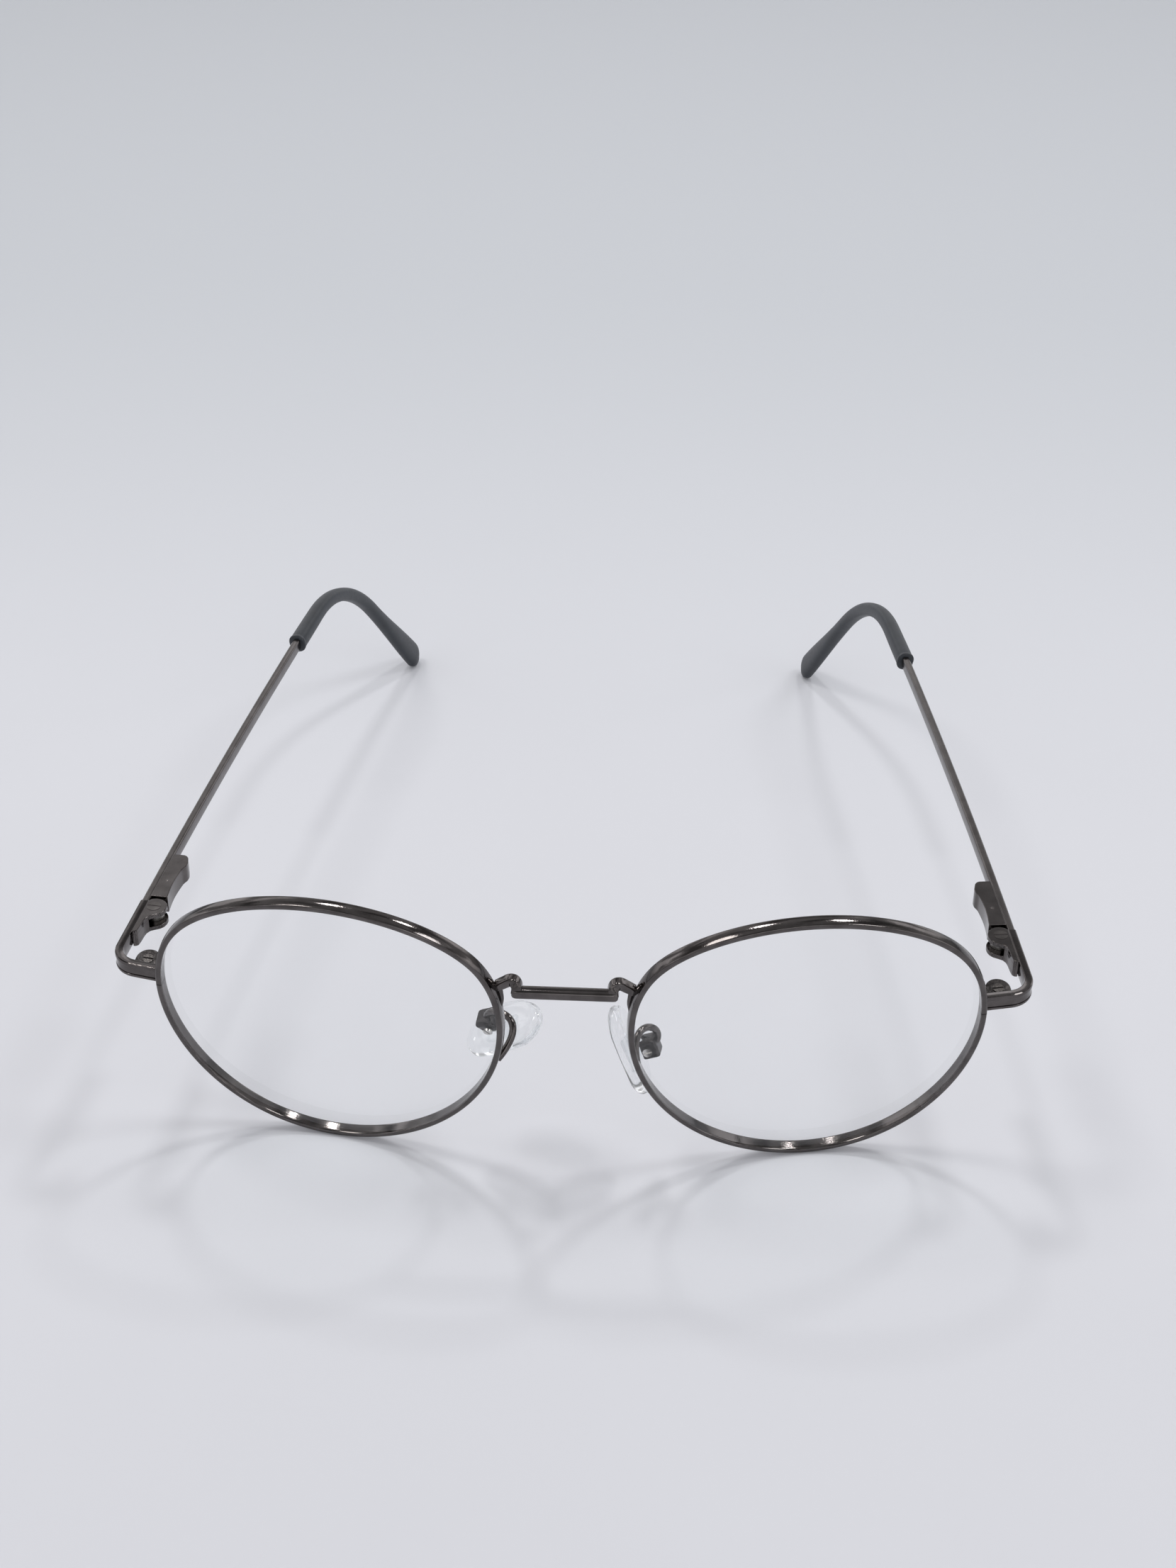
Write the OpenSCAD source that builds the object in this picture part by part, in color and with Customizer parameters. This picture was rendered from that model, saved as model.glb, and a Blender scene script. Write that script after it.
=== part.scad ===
// Round wire eyeglasses, open, resting on the rims and the temple tips.
// Millimetres. X runs across the face, Y from the lenses back along the temples, Z up.
// Left and right are as seen from in front of the lenses.

/* [Lenses] */
// Mean radius of the lens opening
lens_r = 23.8; // [22:0.1:26]
// How far the outline leans over, as a share of the radius
lens_lean = 0.036; // [0:0.002:0.05]
// How much flatter the top is than the bottom, as a share of the radius
lens_drop = 0.041; // [0:0.001:0.05]
// How square the outline is, as a share of the radius
lens_square = 0.011; // [0:0.001:0.015]
// Distance from the middle of the bridge to the middle of each lens
lens_x = 32.3; // [30:0.1:36]
// Turn of each lens around the face, in degrees
wrap = 9; // [4:0.5:12]
// Forward lean of the lens planes, in degrees
pant = 11.5; // [6:0.5:14]
// Radius of the front face of a lens
lens_curve = 135; // [100:5:200]
// Thickness of a lens
lens_t = 1.4; // [1:0.1:2.2]

/* [Rims] */
// Thickness of the rim wire, measured across the outline
rim_t = 0.9; // [0.8:0.05:1.4]
// Depth of the rim wire, front to back
rim_d = 1.9; // [1.6:0.05:2.4]
// Depth of the groove that holds the lens
groove = 0.45; // [0.3:0.05:0.5]
// Where each rim is split, in degrees above its middle
split_at = 2.5; // [1:0.5:7]
// Width of the split
split_gap = 0.2; // [0.1:0.05:0.4]

/* [Bridge] */
// Half the length of the straight bar
bridge_half = 7; // [6:0.1:7.4]
// Height and depth of the bar
bridge_bar = 1.45; // [1.2:0.05:1.8]
// Height of the bar above the middle of the lenses
bridge_up = 10.7; // [9:0.1:12]
// Front of the bar, ahead of the middle of the frame
bridge_front = 7.05; // [6:0.05:8]

/* [Nose pads] */
// Length of a pad
pad_l = 14; // [11:0.5:15]
// Width of a pad
pad_w = 8.4; // [7:0.2:9]
// Thickness of a pad at its middle
pad_t = 2.2; // [1.6:0.1:2.6]
// Turn of the right pad, in degrees about X, Y and Z
pad_right_turn = [-6, -22, -5]; // [-90:1:90]
// Turn of the left pad, in degrees about X, Y and Z
pad_left_turn = [36, -46, -20]; // [-90:1:90]
// Diameter of the pad arm wire
arm_d = 1; // [0.8:0.05:1.3]

/* [Endpieces] */
// Thickness of the endpiece bar
bar_t = 1.2; // [1:0.05:1.5]
// Height of the endpiece bar
bar_h = 2.3; // [2:0.05:2.8]
// Radius of the corner, at the middle of the bar
corner_r = 3.4; // [2.5:0.1:4.5]
// Angle through which the corner turns
corner_turn = 83; // [75:1:90]
// Length of the bar ahead of the corner
bar_front = 3.75; // [3:0.05:5]
// Length of the bar behind the corner
bar_side = 10.5; // [9:0.1:12]

/* [Hinges] */
// Distance from the middle of the frame to a hinge screw, across
hinge_x = 59.4; // [56:0.1:63]
// Distance from the middle of the frame to a hinge screw, back
hinge_y = 16.6; // [13:0.1:18]
// Height of the temples above the middle of the lenses
hinge_up = 4.3; // [3:0.1:6]
// Inward lean of the open temples, in degrees
splay = 6.5; // [3:0.5:9]
// Height of the hinge
hinge_h = 2.7; // [2.4:0.1:3]
// Height of the slot in the fork
fork_slot = 1.3; // [1:0.05:1.5]
// Diameter of the hinge screw's shank
screw_d = 1; // [0.8:0.05:1.2]
// Gap of a running fit, on the radius
fit = 0.04; // [0.02:0.01:0.08]

/* [Temples] */
// Thickness of the temple wire
temple_t = 1.15; // [1:0.05:1.4]
// Height of the temple wire
temple_h = 1.9; // [1.6:0.05:2.4]
// Distance from the hinge screw to where the tip starts to bend
to_bend = 88; // [80:1:95]
// Inward turn of the temple over its length, in degrees
bow = 2.5; // [1:0.25:3]
// Radius of the bend at the tip
bend_r = 28; // [20:0.5:40]
// Angle of the bend
bend = 53.5; // [45:0.5:58]
// Inward roll of the bend, in degrees
bend_roll = 13.5; // [8:0.5:30]
// Straight length after the bend
tip_l = 22.7; // [18:0.1:28]
// Start of the tip sleeve, ahead of the bend
sleeve_lead = 10.8; // [8:0.2:14]
// Width and height of the sleeve at its start
sleeve_d = 2.6; // [2.4:0.1:3]
// Height of the flared end of the sleeve
flare_h = 5; // [4:0.1:6]

/* [Hidden] */
left = -1;
right = 1;
solder = 0.02;
press = 0.01;
lap = 0.02;
steps = 96;

// The outline: its distance from the middle along the normal at angle a, and that distance's slope.
function reach(a) = lens_r * (1 - lens_lean * sin(2 * a) + lens_drop * sin(3 * a)
  - lens_square * cos(4 * a));
function reach_slope(a) = lens_r * (-2 * lens_lean * cos(2 * a) + 3 * lens_drop * cos(3 * a)
  + 4 * lens_square * sin(4 * a));
function outline(a, out) = [
  (reach(a) + out) * cos(a) - reach_slope(a) * sin(a),
  (reach(a) + out) * sin(a) + reach_slope(a) * cos(a)
];
// Height of the middle of the lenses above the floor.
lens_up = -min([for (a = [-110:0.5:-70], p = [[rim_t, 0.3 - rim_d / 2], [rim_t - 0.3, -rim_d / 2]])
  let (q = outline(a, p[0]))
  q.y * cos(pant) + (q.x * sin(wrap) + p[1] * cos(wrap)) * sin(pant)]);
// The closing block sits beside the split, in the plane of the rim.
block_v = outline(split_at, 0).y;
block_u = outline(split_at, rim_t).x + solder;
closing_u = 26.5;
closing_w = 2.55;

// Right-hand things are drawn, and left-hand things are their mirror images.
module on_side(side) {
  mirror([side == left ? 1 : 0, 0, 0]) children();
}
// The middle of the frame, with the temples level.
module in_frame() {
  translate([0, -middle_y, lens_up]) children();
}
// The middle of one rim: X towards the temple, Y back, Z up the lens.
module in_rim() {
  in_frame() rotate([pant, 0, 0]) translate([lens_x, 0, 0]) rotate([0, 0, wrap]) children();
}
// One hinge screw: X outwards, Y back along the temple, Z up the screw.
module in_hinge() {
  in_frame() translate([hinge_x, hinge_y, hinge_up]) rotate([0, 0, splay]) children();
}

// A skin over a row of rings that all have the same number of points, which run clockwise as
// seen from the first ring. Each end is closed by triangles from the ring's first point.
module skin(rings) {
  n = len(rings[0]);
  last = len(rings) - 1;
  sides = [for (i = [0:last - 1], j = [0:n - 1])
    each [
      [i * n + j, i * n + (j + 1) % n, (i + 1) * n + (j + 1) % n],
      [i * n + j, (i + 1) * n + (j + 1) % n, (i + 1) * n + j]
    ]];
  caps = [for (j = [1:n - 2])
    each [[0, j + 1, j], [last * n, last * n + j, last * n + j + 1]]];
  polyhedron([for (ring = rings) each ring], concat(sides, caps), convexity = 8);
}
// A ring round the lens opening, with a section of [out, back] points.
module round_the_lens(section, from, turn, count) {
  skin([for (i = [0:count])
    [for (p = section)
      let (q = outline(from + turn * i / count, p[0])) [q.x, p[1], q.y]]]);
}
function unit(v) = v / norm(v);
// A point and a direction on a Bezier curve through four handles.
function on_curve(b, t) = pow(1 - t, 3) * b[0] + 3 * t * pow(1 - t, 2) * b[1]
  + 3 * t * t * (1 - t) * b[2] + pow(t, 3) * b[3];
function along_curve(b, t) = unit(pow(1 - t, 2) * (b[1] - b[0]) + 2 * t * (1 - t) * (b[2] - b[1])
  + t * t * (b[3] - b[2]));
// Round wire along a list of [place, direction] pairs.
module wire(path, d, count = 12) {
  skin([for (p = path)
    let (a = unit(cross(p[1], [0, 1, 0.3])), b = cross(p[1], a))
    [for (j = [0:count - 1])
      p[0] + d / 2 * (cos(360 * j / count) * a - sin(360 * j / count) * b)]]);
}

// Rims, with a groove inside for the lens and a split beside the closing block.
rim_section = [
  [groove, 0], [0, 0.5], [0, rim_d / 2],
  [rim_t - 0.3, rim_d / 2], [rim_t, rim_d / 2 - 0.3], [rim_t, 0.3 - rim_d / 2],
  [rim_t - 0.3, -rim_d / 2], [0, -rim_d / 2], [0, -0.5]
];
half_split = asin((split_gap / 2) / lens_r);
module rim() {
  in_rim() round_the_lens(rim_section, split_at + half_split, 360 - 2 * half_split, steps);
}
// The space that a rim takes between two angles, used to fit what is soldered to it.
module rim_space(from = 110, to = 230) {
  h = rim_d / 2 + solder;
  t = rim_t + solder;
  in_rim() round_the_lens([[-1, -h], [-1, h], [t, h], [t, -h]], from, to - from, (to - from) / 3);
}

// Lenses, domed forwards, with a thin tongue round the edge that sits in the groove.
module lens() {
  dome = sqrt(lens_curve * lens_curve - lens_r * lens_r) - lens_t / 2;
  in_rim() rotate([90, 0, 0]) {
    intersection() {
      translate([0, 0, -2]) linear_extrude(6)
        polygon([for (i = [0:steps - 1]) outline(360 * i / steps, -0.06)]);
      difference() {
        translate([0, 0, -dome]) sphere(lens_curve, $fn = 240);
        translate([0, 0, -dome]) sphere(lens_curve - lens_t, $fn = 240);
      }
    }
    linear_extrude(0.24, center = true) difference() {
      polygon([for (i = [0:steps - 1]) outline(360 * i / steps, 0.26)]);
      polygon([for (i = [0:steps - 1]) outline(360 * i / steps, -0.3)]);
    }
  }
}

// Bridge: a straight bar with a knee and a leg at each end.
module bridge() {
  low = bridge_up - bridge_bar / 2;
  high = bridge_up + bridge_bar / 2;
  front = -bridge_front;
  back = front + 1.15 * bridge_bar;
  section = [
    [back, low], [front + 0.2, low], [front, low + 0.2], [front, high - 0.3],
    [front + 0.3, high], [back, high]
  ];
  color("#3a3633") in_frame() {
    rotate([90, 0, 90]) linear_extrude(2 * bridge_half, center = true) polygon(section);
  }
  color("#3a3633") for (side = [left, right]) on_side(side) difference() {
    in_frame() {
      hull() {
        translate([bridge_half - 1.4, front + 0.5, low + 0.2])
          cube([1.2, back - front - 0.55, bridge_bar - 0.4]);
        translate([6.6, -5.5, bridge_up + 1.3]) sphere(0.6, $fn = 24);
      }
      hull() {
        translate([6.6, -5.5, bridge_up + 1.3]) sphere(0.6, $fn = 24);
        translate([6.9, -5.4, bridge_up + 0.3]) sphere(0.6, $fn = 24);
        translate([7.4, -5.2, bridge_up + 1.2]) sphere(0.6, $fn = 24);
      }
      hull() {
        translate([6.9, -5.4, bridge_up + 0.3]) sphere(0.6, $fn = 24);
        translate([7.4, -5.2, bridge_up + 1.2]) sphere(0.6, $fn = 24);
        translate([9.2, -5.1, bridge_up + 0.4]) sphere(0.6, $fn = 24);
      }
      hull() {
        translate([8.6, -5.2, bridge_up + 0.1]) sphere(0.5, $fn = 24);
        translate([8.2, -4.85, bridge_up - 3.2]) sphere(0.35, $fn = 24);
      }
    }
    rim_space();
  }
}

// Nose pads. Each pad has a frame of its own at its middle: X away from the nose, Z up its length.
pad_screw_x = 2.9;
pin_d = 0.8;
function pad_place(side) = side == right ? [8.4, 3.4, -6.4] : [9, 4.75, -4.7];
function pad_turn(side) = side == right ? pad_right_turn : pad_left_turn;
module in_pad(side) {
  in_frame() translate(pad_place(side)) rotate(pad_turn(side)) children();
}
function turn_x(v, a) = [v.x, v.y * cos(a) - v.z * sin(a), v.y * sin(a) + v.z * cos(a)];
function turn_y(v, a) = [v.x * cos(a) + v.z * sin(a), v.y, v.z * cos(a) - v.x * sin(a)];
function turn_z(v, a) = [v.x * cos(a) - v.y * sin(a), v.x * sin(a) + v.y * cos(a), v.z];
function from_pad(side, v) = let (t = pad_turn(side))
  pad_place(side) + turn_z(turn_y(turn_x(v, t.x), t.y), t.z);

module pad_outline(shrink) {
  offset(delta = -shrink) scale([1, pad_l / pad_w])
    intersection() {
      circle(d = pad_w, $fn = 40);
      translate([-pad_w / 2 + 1, -pad_w]) square([pad_w, 2 * pad_w]);
    }
}
module nose_pad(side) {
  color("#eef4f6", 0.5) in_pad(side) difference() {
    hull() {
      translate([-pad_t / 2, 0, 0]) rotate([90, 0, 90]) linear_extrude(0.1) pad_outline(1.1);
      translate([-0.3, 0, 0]) rotate([90, 0, 90]) linear_extrude(0.6) pad_outline(0);
      translate([pad_t / 2 - 0.1, 0, 0]) rotate([90, 0, 90]) linear_extrude(0.1) pad_outline(1);
    }
    translate([-0.4, -1.55, -2.55]) cube([0.9, 3.1, 5.1]);
    translate([0, -0.65, -0.95]) cube([pad_t, 1.3, 1.9]);
  }
}
// A cylinder along the pad screw.
module pad_pin(h, d) {
  translate([pad_screw_x, 0, 0]) rotate([90, 0, 0]) cylinder(h = h, d = d, center = true, $fn = 48);
}
module pad_insert(side) {
  color("#dfe6ea", 0.7) in_pad(side) difference() {
    union() {
      translate([-0.35, -1.5, -2.5]) cube([0.8, 3, 5]);
      translate([0, -0.6, -0.9]) cube([pad_screw_x, 1.2, 1.8]);
      pad_pin(1.2, 1.8);
    }
    pad_pin(3, pin_d + 2 * fit);
  }
}
module pad_box(side) {
  color("#2d2a28") in_pad(side) difference() {
    translate([pad_screw_x - 1.05, -1.45, -1.5]) cube([2.5, 2.9, 3]);
    translate([pad_screw_x - 2, -0.7, -2]) cube([3.1, 1.4, 4]);
    pad_pin(4, pin_d + 2 * press);
  }
}
module pad_screw(side) {
  color("#b9b7b2") in_pad(side) translate([pad_screw_x, 0, 0]) rotate([90, 0, 0]) difference() {
    union() {
      translate([0, 0, -1.4]) cylinder(h = 2.9, d = pin_d, $fn = 48);
      translate([0, 0, 1.47]) cylinder(h = 0.4, d = 1.3, $fn = 48);
    }
    translate([-1, -0.11, 1.7]) cube([2, 0.22, 1]);
  }
}
// The arm leaves the rim, loops inwards and over, and ends on the back of the box.
function arm_start(side) = side == right ? [8.75, -1.8, -3.6] : [8.5, -1.9, -3.6];
function arm_handle(side) = side == right ? [8, 1.2, 1.4] : [4.2, 0.6, 1.6];
module pad_arm(side) {
  foot = from_pad(side, [pad_screw_x + 1.45 + solder, 0, 0.6]);
  out = from_pad(side, [pad_screw_x + 3.4, 0, 3]);
  curve = [arm_start(side), arm_handle(side), out, foot];
  color("#3a3633") difference() {
    in_frame() wire([for (i = [0:24]) [on_curve(curve, i / 24), along_curve(curve, i / 24)]], arm_d);
    rim_space();
    in_pad(side) translate([pad_screw_x - 1, -2, -2]) cube([2.45 + solder, 4, 4]);
  }
}

// Endpiece bar: square to the rim, round the corner, and back to the temple.
function bar_section(t, h) = [
  [-t / 2, -h / 2], [t / 2 - 0.3, -h / 2], [t / 2, 0.3 - h / 2], [t / 2, 0.52 - h / 2],
  [t / 2 - 0.1, 0.64 - h / 2], [t / 2 - 0.1, h / 2 - 0.64], [t / 2, h / 2 - 0.52],
  [t / 2, h / 2 - 0.3], [t / 2 - 0.3, h / 2], [-t / 2, h / 2]
];
bar_x = 1.85;
butt_y = 1.4;
module bar(more) {
  section = bar_section(bar_t + 2 * more, bar_h + 2 * more);
  in_hinge() translate([bar_x, butt_y, 0]) {
    rotate([90, 0, 0]) linear_extrude(bar_side + lap) polygon(section);
    translate([-corner_r, -bar_side, 0]) rotate([0, 0, -corner_turn]) {
      rotate_extrude(angle = corner_turn, $fn = 96) translate([corner_r, 0]) polygon(section);
      translate([corner_r, lap, 0]) rotate([90, 0, 0]) linear_extrude(bar_front + lap)
        polygon(section);
    }
  }
}
module endpiece() {
  color("#3a3633") difference() {
    bar(0);
    rim_space(-15, 45);
  }
}

// Closing block: two halves beside the split, drawn together by a screw to hold the lens.
module block_half(low, high) {
  translate([0, 0, block_v + low]) linear_extrude(high - low) union() {
    polygon([
      [block_u, 0.62], [closing_u + 1.5, 0.95], [closing_u + 1.75, 1.3],
      [closing_u + 1.75, closing_w], [closing_u - 1.75, closing_w], [block_u, 1.9]
    ]);
    translate([closing_u, closing_w]) circle(r = 1.75, $fn = 64);
  }
}
module closing_block_upper() {
  color("#3a3633") difference() {
    in_rim() difference() {
      block_half(split_gap / 2, 1.1);
      translate([closing_u, closing_w, block_v - 1]) cylinder(h = 4, d = 1 + 2 * fit, $fn = 48);
      translate([closing_u, closing_w, block_v + 0.65]) cylinder(h = 2, d = 1.6, $fn = 48);
    }
    bar(solder);
  }
}
module closing_block_lower() {
  color("#3a3633") difference() {
    in_rim() difference() {
      block_half(-1.5, -split_gap / 2);
      translate([closing_u, closing_w, block_v - 3]) cylinder(h = 5, d = 1 + 2 * press, $fn = 48);
    }
    bar(solder);
  }
}
module closing_screw() {
  color("#4a4643") in_rim() translate([closing_u, closing_w, block_v]) difference() {
    union() {
      translate([0, 0, -1.45]) cylinder(h = 2.2, d = 1, $fn = 48);
      translate([0, 0, 0.67]) cylinder(h = 0.42, d = 1.5, $fn = 48);
    }
    translate([-1, -0.12, 0.87]) cube([2, 0.24, 1]);
  }
}

// Hinge fork: two plates round the tongue, joined at a foot on the endpiece.
module hinge_fork() {
  inner = bar_x - bar_t / 2 - solder;
  color("#3a3633") in_hinge() difference() {
    translate([0, 0, -hinge_h / 2]) linear_extrude(hinge_h) intersection() {
      union() {
        circle(r = 1.85, $fn = 64);
        polygon([
          [inner, 1.2], [0, 1.5], [-1.85, 0], [-1.75, -0.9], [-1.35, -1.55], [-0.5, -1.95],
          [0.1, -2.5], [0.4, -3.3], [0.5, -5.7], [inner, -6.1]
        ]);
      }
      translate([inner - 8, -8]) square([8, 12]);
    }
    translate([-5, -2.05, -fork_slot / 2]) cube([8, 8, fork_slot]);
    translate([0, 0, -3]) cylinder(h = 6, d = screw_d + 2 * fit, $fn = 48);
    translate([0, 0, hinge_h / 2 - 0.42]) cylinder(h = 2, d = 2.1, $fn = 64);
  }
}
module hinge_screw() {
  color("#4a4643") in_hinge() difference() {
    union() {
      translate([0, 0, 0.03 - hinge_h / 2]) cylinder(h = hinge_h - 0.3, d = screw_d, $fn = 48);
      translate([0, 0, hinge_h / 2 - 0.38]) cylinder(h = 0.4, d = 2, $fn = 64);
    }
    translate([-2, -0.16, hinge_h / 2 - 0.18]) cube([4, 0.32, 1]);
  }
}
// Sprung tongue: an eye on the screw, a square shank and a rod that carries the spring.
shank = 1.4;
tongue_t = fork_slot - 0.1;
shank_end = 4.3;
rod_d = 0.6;
rod_end = 10.6;
module hinge_tongue() {
  color("#6a6560") in_hinge() difference() {
    union() {
      translate([0, 0, -tongue_t / 2]) linear_extrude(tongue_t) union() {
        circle(r = 1.05, $fn = 64);
        translate([-0.35, 0.2]) circle(r = 0.95, $fn = 48);
        translate([-shank / 2, 0]) square([shank, 3]);
      }
      translate([-shank / 2, 2.2, -tongue_t / 2]) cube([shank, shank_end - 2.2, tongue_t]);
      translate([0, shank_end - 0.2, 0]) rotate([-90, 0, 0])
        cylinder(h = rod_end - shank_end + 0.2, d = rod_d, $fn = 32);
    }
    cylinder(h = 6, d = screw_d + 2 * fit, center = true, $fn = 48);
  }
}
// Housing soldered inside the temple, with one square bore from the front.
bore = shank + 0.1;
bore_h = tongue_t + 0.1;
housing_y = 2.4;
housing_l = 10.4;
function waist(y) = 1.2 - 0.25 * sin(180 * (y - 2.4) / 7) + (y > 9.4 ? 0.25 * sin(90 * (y - 9.4)) : 0);
module hinge_housing() {
  inner = bar_x - temple_t / 2 - solder;
  away = pow(housing_y + housing_l - butt_y, 2) / (2 * bow_r);
  color("#3a3633") in_hinge() difference() {
    translate([0, 0, -hinge_h / 2]) linear_extrude(hinge_h) polygon(concat(
      [[inner - 0.01, housing_y], [inner - away, housing_y + housing_l]],
      [for (a = [0:15:60]) [-0.35 - 1 * sin(a), housing_y + housing_l - 1.4 + 1.4 * cos(a)]],
      [for (y = [11, 10.2, 9.4, 8, 7, 6, 5, 4, 3]) [-waist(min(y, 10.2)), y]],
      [[-1.2, housing_y]]
    ));
    translate([-bore / 2, housing_y - 1, -bore_h / 2]) cube([bore, 9.8, bore_h]);
  }
}
module hinge_collar() {
  color("#8d8983") in_hinge() difference() {
    translate([press - bore / 2, 5, press - bore_h / 2])
      cube([bore - 2 * press, 0.7, bore_h - 2 * press]);
    rotate([-90, 0, 0]) cylinder(h = 8, d = rod_d + 2 * fit, $fn = 32);
  }
}
// The spring, as a row of coils on the rod between the collar and the stop.
spring_turns = 8;
module hinge_spring() {
  color("#b5b2ac") in_hinge() difference() {
    union() for (i = [0:spring_turns - 1])
      translate([0, 5.85 + i * 0.5, 0]) rotate([90, 0, 0]) rotate_extrude($fn = 32)
        translate([0.47, 0]) circle(d = 0.24, $fn = 16);
  }
}
module spring_stop() {
  color("#8d8983") in_hinge() difference() {
    translate([-0.65, 9.85, -0.6]) cube([1.3, 0.7, 1.2]);
    rotate([-90, 0, 0]) cylinder(h = 12, d = rod_d + 2 * press, $fn = 32);
  }
}

// Temple: a flat wire with a slight inward bow, then a round core inside the tip.
bow_r = (to_bend - butt_y) / bow * 180 / PI;
core_d = 1.2;
flat_end = to_bend - sleeve_lead + 4;
sleeve_l = sleeve_lead + bend_r * bend * PI / 180 + tip_l;
// A section of [across, up] points at a distance along the bowed temple.
function on_temple(y, section) = let (a = (y - butt_y) / bow_r * 180 / PI)
  [for (p = section) [
    bar_x - bow_r + (bow_r + p.x) * cos(a),
    butt_y + (bow_r + p.x) * sin(a),
    p.y
  ]];
temple_section = [
  [-temple_t / 2, -temple_h / 2], [temple_t / 2 - 0.3, -temple_h / 2],
  [temple_t / 2, 0.3 - temple_h / 2], [temple_t / 2, temple_h / 2 - 0.3],
  [temple_t / 2 - 0.3, temple_h / 2], [-temple_t / 2, temple_h / 2]
];
socket_section = [
  for (x = [-1, 1], z = [-x, x])
    [x * (temple_t / 2 + press), z * (temple_h / 2 + press)]
];
// Where the tip starts to bend: Y on along the temple, -Z into the bend.
module at_bend() {
  in_hinge() translate([bar_x - bow_r, butt_y, 0]) rotate([0, 0, bow]) translate([bow_r, 0, 0])
    rotate([0, bend_roll, 0]) children();
}
// The centre line of the tip: a place and a direction at a distance from the sleeve's start.
function sleeve_place(s) = let (
    u = s - sleeve_lead,
    a = max(0, min(bend, u / bend_r * 180 / PI)),
    on = u < 0 ? u : max(0, u - bend_r * bend * PI / 180))
  [
    [0, bend_r * sin(a) + on * cos(a), bend_r * (cos(a) - 1) - on * sin(a)],
    [0, cos(a), -sin(a)]
  ];
// Half way between the front of the rims and the ends of the tips.
tip_end = turn_z([bow_r, 0, 0] + turn_y(sleeve_place(sleeve_l)[0], bend_roll), bow);
back_y = hinge_y + turn_z(tip_end + [bar_x - bow_r, butt_y, 0], splay).y + 0.2 * flare_h;
front_y = min([for (a = [90:180])
  let (q = outline(a, rim_t - 0.3))
  (q.x * sin(wrap) - rim_d / 2 * cos(wrap)) * cos(pant) - q.y * sin(pant)]);
middle_y = (front_y + back_y) / 2;

// The round core inside the tip, or the channel that it sits in.
core_from = 3.5;
core_to = sleeve_l - 7;
module core(d, more) {
  at_bend() wire([for (i = [0:20]) sleeve_place(core_from + (core_to + more - core_from) * i / 20)], d);
}
module temple() {
  color("#3a3633") {
    in_hinge() skin([for (i = [0:12])
      on_temple(butt_y + 0.06 + (flat_end - butt_y - 0.06) * i / 12, temple_section)]);
    core(core_d, 0);
  }
}

// Tip sleeve: rings along the centre line that narrow in the bend and flare at the end.
function smooth(x) = let (t = max(0, min(1, x))) t * t * (3 - 2 * t);
function sleeve_tall(s) = (sleeve_d + 0.3 - 0.5 * smooth(s / 25)
  + (flare_h - sleeve_d) * smooth((s - sleeve_l + 22) / 20)) * sleeve_close(s);
function sleeve_wide(s) = (sleeve_d - 0.2 * smooth(s / 25)) * sleeve_close(s);
function sleeve_close(s) = let (e = max(0, s - sleeve_l + 2.5) / 2.5) sqrt(max(0.02, 1 - e * e));
sleeve_steps = concat([for (i = [0:23]) (sleeve_l - 3) * i / 23],
  [for (k = [0.5, 1.2, 1.8, 2.3, 2.7, 2.95]) sleeve_l - 3 + k]);
module temple_tip() {
  count = 20;
  power = 0.8;
  color("#39404c") difference() {
    at_bend() skin([for (s = sleeve_steps) let (p = sleeve_place(s))
      [for (j = [0:count - 1]) let (
          a = 360 * j / count,
          x = sleeve_wide(s) / 2 * sign(cos(a)) * pow(abs(cos(a)), power),
          z = sleeve_tall(s) / 2 * sign(sin(a)) * pow(abs(sin(a)), power))
        p[0] + x * [1, 0, 0] + z * cross([1, 0, 0], p[1])]]);
    core(core_d + 2 * press, 0.1);
    in_hinge() skin([for (i = [0:3])
      on_temple(to_bend - sleeve_lead - 1 + 5.02 * i / 3, socket_section)]);
  }
}

color("#3a3633") on_side(left) rim();  // rim_left
color("#3a3633") on_side(right) rim();  // rim_right
color("#f4f8fa", 0.3) on_side(left) lens();  // lens_left
color("#f4f8fa", 0.3) on_side(right) lens();  // lens_right
bridge();
on_side(left) pad_arm(left);  // pad_arm_left
on_side(right) pad_arm(right);  // pad_arm_right
on_side(left) pad_box(left);  // pad_box_left
on_side(right) pad_box(right);  // pad_box_right
on_side(left) pad_screw(left);  // pad_screw_left
on_side(right) pad_screw(right);  // pad_screw_right
on_side(left) pad_insert(left);  // pad_insert_left
on_side(right) pad_insert(right);  // pad_insert_right
on_side(left) nose_pad(left);  // nose_pad_left
on_side(right) nose_pad(right);  // nose_pad_right
on_side(left) endpiece();  // endpiece_left
on_side(right) endpiece();  // endpiece_right
on_side(left) closing_block_upper();  // closing_block_upper_left
on_side(right) closing_block_upper();  // closing_block_upper_right
on_side(left) closing_block_lower();  // closing_block_lower_left
on_side(right) closing_block_lower();  // closing_block_lower_right
on_side(left) closing_screw();  // closing_screw_left
on_side(right) closing_screw();  // closing_screw_right
on_side(left) hinge_fork();  // hinge_fork_left
on_side(right) hinge_fork();  // hinge_fork_right
on_side(left) hinge_screw();  // hinge_screw_left
on_side(right) hinge_screw();  // hinge_screw_right
on_side(left) hinge_tongue();  // hinge_tongue_left
on_side(right) hinge_tongue();  // hinge_tongue_right
on_side(left) hinge_housing();  // hinge_housing_left
on_side(right) hinge_housing();  // hinge_housing_right
on_side(left) hinge_collar();  // hinge_collar_left
on_side(right) hinge_collar();  // hinge_collar_right
on_side(left) hinge_spring();  // hinge_spring_left
on_side(right) hinge_spring();  // hinge_spring_right
on_side(left) spring_stop();  // spring_stop_left
on_side(right) spring_stop();  // spring_stop_right
on_side(left) temple();  // temple_left
on_side(right) temple();  // temple_right
on_side(left) temple_tip();  // temple_tip_left
on_side(right) temple_tip();  // temple_tip_right
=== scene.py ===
import math

import bmesh
import bpy
from mathutils import Euler, Matrix, Vector, noise


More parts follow.
